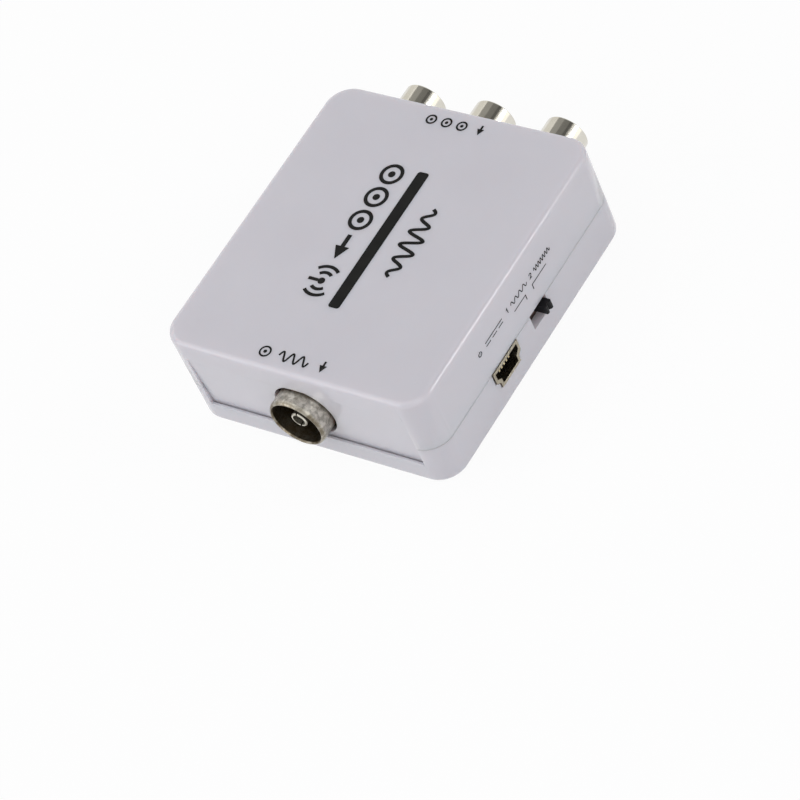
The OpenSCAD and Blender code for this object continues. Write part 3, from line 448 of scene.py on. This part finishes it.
def print_ink():
    """Pad-printed black ink, a little uneven."""
    material, tree, shader = start_material("print ink", Specular_IOR_Level=0.12)
    skin = place_group(tree, MOULDED_SKIN, Grain_Size=0.12, Wave_Size=3.0, Wave_Share=0.3).outputs
    black = blend_colour(tree, skin["Tint"], (0.008, 0.008, 0.008), (0.012, 0.012, 0.0115))
    join(tree, black, shader, "Base Color")
    join(tree, maths(tree, "MULTIPLY", skin["Gloss"], 0.8), shader, "Roughness")
    bump(tree, shader, skin["Height"], 0.003)
    return material


def coloured_insert(name, colour):
    """Glossy coloured plastic of a jack's insert."""
    darker = tuple(0.9 * c for c in colour)
    return moulded_plastic(name, colour, darker, roughness=0.3, grain=0.12, IOR=1.5)


def dark_plastic(name, level, roughness, rub=0.0, specular=0.25):
    """Near-black moulded plastic with a satin grain."""
    colour = (level, level, 1.1 * level)
    lighter = tuple(1.35 * c for c in colour)
    return moulded_plastic(
        name, colour, lighter, roughness, grain=0.09, depth=0.004, rub=rub,
        rubbed=(0.07, 0.07, 0.07), Specular_IOR_Level=specular,
    )


FINISHES = {
    "shell_plastic": shell_plastic(),
    "nickel": nickel(),
    "tin": tin(),
    "contact_brass": contact_brass(),
    "circuit_laminate": circuit_laminate(),
    "brown_laminate": brown_laminate(),
    "chip_ceramic": chip_ceramic(),
    "coil_copper": coil_copper(),
    "yellow_plastic": coloured_insert("yellow plastic", (0.80, 0.55, 0.02)),
    "white_plastic": coloured_insert("white plastic", (0.72, 0.72, 0.70)),
    "red_plastic": coloured_insert("red plastic", (0.60, 0.015, 0.015)),
    "cream_plastic": coloured_insert("cream plastic", (0.62, 0.55, 0.42)),
    "black_plastic": dark_plastic("black plastic", 0.022, 0.42),
    "knob_plastic": dark_plastic("knob plastic", 0.009, 0.45, rub=0.2, specular=0.13),
    "chip_plastic": dark_plastic("chip plastic", 0.02, 0.6),
}
INK = print_ink()
WORN_NICKEL = worn_nickel()


def dress_nodes():
    """Gives each CAD node the finish of its slot, and softens the sharp edges of what shows."""
    slots = {s["node"]: s["material_slot"] for s in frame["record"]["subparts"]}
    for name, node in frame["nodes"].items():
        for held in node.material_slots:
            held.material = WORN_NICKEL if name == "power_socket_shell" else FINISHES[slots[name]]
        if name in SOFT_EDGES:
            soften(node, SOFT_EDGES[name] * MM)


def soften(node, radius):
    """Welds a node's split corners and rounds its sharp edges, by modifiers alone."""
    weld = node.modifiers.new("weld", "WELD")
    weld.merge_threshold = WELD_REACH
    bevel = node.modifiers.new("round", "BEVEL")
    bevel.width = radius
    bevel.segments = 2
    bevel.limit_method = "ANGLE"
    bevel.angle_limit = SHARP_ANGLE
    bevel.harden_normals = True


# Printed marks

class Sheet:
    """Flat marks on one face of the case, drawn in millimetres: along, then up."""

    def __init__(self, name, origin, along, up):
        self.name = name
        self.origin = Vector(origin)
        self.along = Vector(along)
        self.up = Vector(up)
        self.out = self.along.cross(self.up)
        self.mesh = bmesh.new()

    def place(self, point, height):
        return self.mesh.verts.new(
            self.origin + (self.along * point[0] + self.up * point[1]) * MM + self.out * height
        )

    def plate(self, outline):
        """Solid flat mark inside one outline, whose points run anticlockwise."""
        top = [self.place(p, INK_PROUD) for p in outline]
        low = [self.place(p, -INK_SUNK) for p in outline]
        self.mesh.faces.new(top)
        self.mesh.faces.new(low[::-1])
        for i in range(len(outline)):
            j = (i + 1) % len(outline)
            self.mesh.faces.new((top[j], top[i], low[i], low[j]))

    def stroke(self, points, width, closed=False):
        """Line of even width through points, with mitred corners."""
        count = len(points)
        sides = []
        for i, point in enumerate(points):
            before = points[i - 1] if closed or i else None
            after = points[(i + 1) % count] if closed or i < count - 1 else None
            sides.append(mitre(point, before, after, width / 2))
        rings = [
            [self.place(left, INK_PROUD), self.place(right, INK_PROUD),
             self.place(right, -INK_SUNK), self.place(left, -INK_SUNK)]
            for left, right in sides
        ]
        for i in range(count if closed else count - 1):
            here, there = rings[i], rings[(i + 1) % count]
            for k in range(4):
                m = (k + 1) % 4
                self.mesh.faces.new((here[k], here[m], there[m], there[k]))
        if not closed:
            self.mesh.faces.new(rings[0][::-1])
            self.mesh.faces.new(rings[-1])

    def finish(self):
        bmesh.ops.recalc_face_normals(self.mesh, faces=self.mesh.faces)
        data = bpy.data.meshes.new(self.name)
        self.mesh.to_mesh(data)
        self.mesh.free()
        data.materials.append(INK)
        made = bpy.data.objects.new(self.name, data)
        bpy.context.scene.collection.objects.link(made)
        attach(made, BODY)


def mitre(point, before, after, half):
    """The two points beside a line's corner, half a width away on each side."""
    here = Vector(point)
    steps = []
    if before is not None:
        steps.append((here - Vector(before)).normalized())
    if after is not None:
        steps.append((Vector(after) - here).normalized())
    way = sum(steps, Vector((0.0, 0.0))).normalized()
    normal = Vector((-way.y, way.x))
    first = Vector((-steps[0].y, steps[0].x))
    reach = half / max(normal.dot(first), 0.3)
    return here + normal * reach, here - normal * reach


def arc(centre, radius, start, end, steps=ROUND_STEPS):
    """Points of an arc; the angles are in degrees."""
    turns = [math.radians(start + (end - start) * i / steps) for i in range(steps + 1)]
    return [(centre[0] + radius * math.cos(t), centre[1] + radius * math.sin(t)) for t in turns]


def ring(sheet, centre, radius, width):
    sheet.stroke(arc(centre, radius - width / 2, 0, 360)[:-1], width, closed=True)


def dot(sheet, centre, radius):
    sheet.plate(arc(centre, radius, 0, 360)[:-1])


def jack_mark(sheet, centre, radius, width):
    """A socket seen from its mouth: a ring with a dot."""
    ring(sheet, centre, radius, width)
    dot(sheet, centre, 0.3 * radius)


def wave_mark(sheet, start, length, height, periods, width, swell=0.0):
    """Sine wave along the sheet; with a swell its height grows and shrinks once."""
    steps = int(periods * 24)
    points = []
    for i in range(steps + 1):
        share = i / steps
        level = height / 2 * (1 - swell * (0.5 + 0.5 * math.cos(2 * math.pi * share)))
        rise = level * math.sin(2 * math.pi * periods * share)
        points.append((start[0] + length * share, start[1] + rise))
    sheet.stroke(points, width)


def arrow_mark(sheet, tail, tip, width, head):
    """Straight arrow with a filled head."""
    way = (Vector(tip) - Vector(tail)).normalized()
    side = Vector((-way.y, way.x))
    neck = Vector(tip) - way * head
    sheet.stroke([tail, neck], width)
    sheet.plate([neck - side * 0.5 * head, Vector(tip), neck + side * 0.5 * head])


def mast_mark(sheet, centre, radius, width, foot):
    """Aerial mast: a pole with a dot at its top and two arcs on each side."""
    tip = 0.22 * radius
    dot(sheet, centre, tip)
    sheet.stroke([(centre[0], centre[1] - tip), (centre[0], foot)], width)
    for reach in (0.58, 1.0):
        for turn in (0, 180):
            sheet.stroke(arc(centre, reach * radius, turn - 42, turn + 42, 16), width)


def print_top(top):
    """Bar and marks in the middle of the top, and a row of marks at each end."""
    bar = Sheet("top_bar_print", (-0.65 * MM, 16.0 * MM, top), (0, -1, 0), (1, 0, 0))
    long, wide, r = 31.6, 2.35, 0.55
    corners = ((long - r, r, -90), (long - r, wide - r, 0), (r, wide - r, 90), (r, r, 180))
    bar.plate([p for x, y, a in corners for p in arc((x, y), r, a, a + 90, 6)])
    bar.finish()
    left = Sheet("top_left_print", (-7.6 * MM, 16.4 * MM, top), (0, -1, 0), (1, 0, 0))
    for u in (2.33, 7.75, 13.2):
        jack_mark(left, (u, 2.33), 2.33, 0.72)
    arrow_mark(left, (16.7, 2.33), (22.3, 2.33), 0.9, 2.9)
    mast_mark(left, (27.3, 2.75), 3.2, 0.66, 0.0)
    left.finish()
    right = Sheet("top_right_print", (4.5 * MM, 9.3 * MM, top), (0, -1, 0), (1, 0, 0))
    wave_mark(right, (0.3, 2.25), 15.7, 4.0, 5, 0.66, swell=0.6)
    right.finish()
    front = Sheet("top_front_print", (-7.5 * MM, -28.7 * MM, top), (1, 0, 0), (0, 1, 0))
    jack_mark(front, (1.25, 1.2), 1.2, 0.36)
    wave_mark(front, (4.2, 1.2), 6.2, 1.9, 3, 0.38)
    arrow_mark(front, (13.4, 2.4), (13.4, 0.0), 0.42, 1.5)
    front.finish()
    back = Sheet("top_back_print", (6.5 * MM, 28.6 * MM, top), (-1, 0, 0), (0, -1, 0))
    arrow_mark(back, (1.0, 0.0), (1.0, 2.25), 0.42, 1.4)
    for u in (4.9, 8.15, 11.4):
        jack_mark(back, (u, 1.1), 1.1, 0.36)
    back.finish()


def print_side(side):
    """Marks over the power socket and over the two places of the switch."""
    thin = 0.2
    power = Sheet("side_power_print", (side, -13.8 * MM, 14.5 * MM), (0, 1, 0), (0, 0, 1))
    power.stroke(arc((0.6, 0.5), 0.45, 125, 415), thin)
    power.stroke([(0.6, 0.55), (0.6, 1.1)], thin)
    power.stroke([(2.6, 0.95), (8.3, 0.95)], thin)
    for i in range(3):
        power.stroke([(2.6 + 2.1 * i, 0.2), (4.1 + 2.1 * i, 0.2)], thin)
    power.finish()
    first = Sheet("side_front_place_print", (side, -3.9 * MM, 14.8 * MM), (0, 1, 0), (0, 0, 1))
    first.stroke([(0.0, 0.8), (0.3, 1.05), (0.3, 0.0)], thin)
    wave_mark(first, (1.5, 0.5), 5.4, 0.95, 4, thin)
    first.stroke([(1.7, -1.35), (5.5, -1.35), (5.5, -2.5)], thin)
    first.finish()
    second = Sheet("side_rear_place_print", (side, 4.1 * MM, 14.8 * MM), (0, 1, 0), (0, 0, 1))
    second.stroke([*arc((0.3, 0.75), 0.3, 170, -35, 12), (0.02, 0.06), (0.62, 0.06)], thin)
    wave_mark(second, (1.5, 0.5), 5.4, 0.95, 7, thin)
    second.stroke([(4.75, -1.35), (-0.1, -1.35), (-0.1, -2.5)], thin)
    second.finish()


# Studio

def white_to_lenses(tree, seen, lit, seen_share):
    """Shows one shader to camera, glossy and transmission rays, mixed with a share of the other,
    which is all that other rays get."""
    path = add(tree, "ShaderNodeLightPath").outputs
    looks = maths(tree, "MAXIMUM", path["Is Camera Ray"], path["Is Glossy Ray"])
    looks = maths(tree, "MAXIMUM", looks, path["Is Transmission Ray"])
    share = maths(tree, "MULTIPLY", looks, seen_share)
    return add(tree, "ShaderNodeMixShader", {0: share, 1: lit, 2: seen}).outputs[0]


def make_floor():
    """Large pale floor, seen as white, that keeps a little of the object's shadow."""
    bpy.ops.mesh.primitive_plane_add(size=8.0, location=(0, 0, -0.01 * MM))
    floor = bpy.context.object
    floor.name = "floor"
    material = bpy.data.materials.new("floor paper")
    material.use_nodes = True
    tree = material.node_tree
    tree.nodes.clear()
    lit = add(tree, "ShaderNodeBsdfDiffuse", {"Color": (0.86, 0.86, 0.87, 1.0)}).outputs[0]
    seen = add(tree, "ShaderNodeEmission", {"Strength": 1.0}).outputs[0]
    add(tree, "ShaderNodeOutputMaterial", {"Surface": white_to_lenses(tree, seen, lit, 0.93)})
    floor.data.materials.append(material)


def make_world():
    """Room that is seen as white but lights the object less."""
    world = bpy.data.worlds.new("studio")
    bpy.context.scene.world = world
    world.use_nodes = True
    tree = world.node_tree
    tree.nodes.clear()
    lit = add(tree, "ShaderNodeBackground", {
        "Color": (0.97, 0.98, 1.0, 1.0), "Strength": 0.46,
    }).outputs[0]
    seen = add(tree, "ShaderNodeBackground", {"Strength": 1.0}).outputs[0]
    add(tree, "ShaderNodeOutputWorld", {"Surface": white_to_lenses(tree, seen, lit, 1.0)})


def aim(thing, place, target):
    thing.location = place
    thing.rotation_mode = "QUATERNION"
    thing.rotation_quaternion = (Vector(target) - Vector(place)).to_track_quat("-Z", "Y")


def make_lamp(name, place, size, power):
    data = bpy.data.lights.new(name, "AREA")
    data.shape = "RECTANGLE"
    data.size, data.size_y = size
    data.energy = power
    lamp = bpy.data.objects.new(name, data)
    bpy.context.scene.collection.objects.link(lamp)
    aim(lamp, place, LAMP_TARGET)


def make_card(name, start, end, grey, distance):
    """Card that only reflections see. It fills the angles, in degrees from overhead, that one band
    of the nickel sleeves mirrors to the camera."""
    middle = math.radians((start + end) / 2)
    half = math.radians((end - start) / 2)
    lean = Vector((
        MIRRORED_ACROSS * math.sin(middle), MIRRORED_BACK, MIRRORED_ACROSS * math.cos(middle),
    )).normalized()
    across = Vector((math.cos(middle), 0.0, -math.sin(middle)))
    turn = Matrix((across, lean.cross(across), lean)).transposed().to_4x4()
    turn.translation = lean * distance
    reach = 0.5 * distance
    wide = distance * math.tan(half)
    corners = [(-wide, -reach, 0), (wide, -reach, 0), (wide, reach, 0), (-wide, reach, 0)]
    data = bpy.data.meshes.new(name)
    data.from_pydata(corners, [], [(0, 1, 2, 3)])
    card = bpy.data.objects.new(name, data)
    bpy.context.scene.collection.objects.link(card)
    card.matrix_world = turn
    material = bpy.data.materials.new(name)
    material.use_nodes = True
    tree = material.node_tree
    tree.nodes.clear()
    warm_grey = (grey, 0.98 * grey, 0.93 * grey, 1.0)
    glow = add(tree, "ShaderNodeEmission", {"Color": warm_grey}).outputs[0]
    add(tree, "ShaderNodeOutputMaterial", {"Surface": glow})
    data.materials.append(material)
    card.visible_camera = False
    card.visible_diffuse = False
    card.visible_shadow = False
    card.visible_transmission = False


def make_camera():
    """Camera at the photograph's place."""
    data = bpy.data.cameras.new("camera")
    data.sensor_width = SENSOR_WIDTH
    data.lens = CAMERA_LENS
    data.clip_start, data.clip_end = 0.01, 20.0
    camera = bpy.data.objects.new("camera", data)
    bpy.context.scene.collection.objects.link(camera)
    ahead = Vector(CAMERA_AHEAD)
    down = Vector(CAMERA_DOWN)
    right = down.cross(ahead).normalized()
    turn = Matrix((right, -down, -ahead)).transposed().to_4x4()
    turn.translation = Vector(CAMERA_PLACE) * MM
    camera.matrix_world = turn
    bpy.context.scene.camera = camera


make_camera()
dress_nodes()
print_top(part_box("top_shell")[1].z)
print_side(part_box("top_shell")[1].x)
make_floor()
make_world()
for lamp in LAMPS:
    make_lamp(*lamp)
for card in CARDS:
    make_card(*card)
bpy.context.scene.view_settings.view_transform = "Standard"
